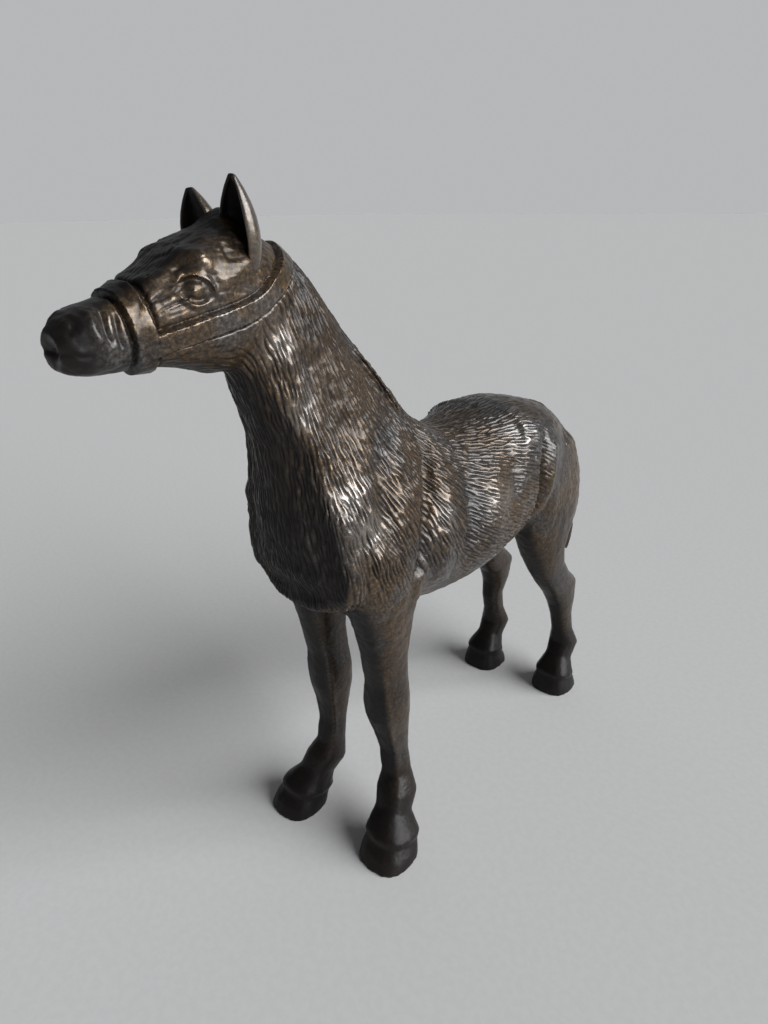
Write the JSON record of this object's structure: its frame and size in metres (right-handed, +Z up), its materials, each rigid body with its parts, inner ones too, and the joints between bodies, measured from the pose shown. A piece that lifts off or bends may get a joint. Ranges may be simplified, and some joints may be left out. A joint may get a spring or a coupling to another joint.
{
  "type": "bronze horse figurine",
  "caption": "Standing horse figurine in dark bronze with a chased coat, pricked ears, short mane and a plain halter.",
  "frame": {"origin": "on the ground under the middle of the figure's bounding box", "axes": "+Z up, -Y the way the horse faces, +X its left side"},
  "size_m": [0.06, 0.2178, 0.2131],
  "materials": {
    "chased_bronze": "dark brown patina over chased hair strokes, rubbed warm on the high spots",
    "smooth_bronze": "near-black brown patina, satin, smooth with faint chisel planes",
    "halter_bronze": "dark brown patina, slightly polished on the edges",
    "joint_brass": "bare machined metal, hidden inside"
  },
  "bodies": {
    "root": {"body_casting": "chased_bronze", "neck_casting": "chased_bronze", "head_casting": "chased_bronze", "mane": "chased_bronze", "belly_core_plug": "chased_bronze", "left_ear": "smooth_bronze", "right_ear": "smooth_bronze", "tail": "chased_bronze", "halter_noseband": "halter_bronze", "halter_crownpiece": "halter_bronze", "neck_joint_sleeve": "joint_brass", "head_dowel": "joint_brass", "tail_dowel": "joint_brass", "left_foreleg": "smooth_bronze", "left_foreleg_dowel": "joint_brass", "right_foreleg": "smooth_bronze", "right_foreleg_dowel": "joint_brass", "left_hindleg": "smooth_bronze", "left_hindleg_dowel": "joint_brass", "right_hindleg": "smooth_bronze", "right_hindleg_dowel": "joint_brass"}
  },
  "joints": []
}
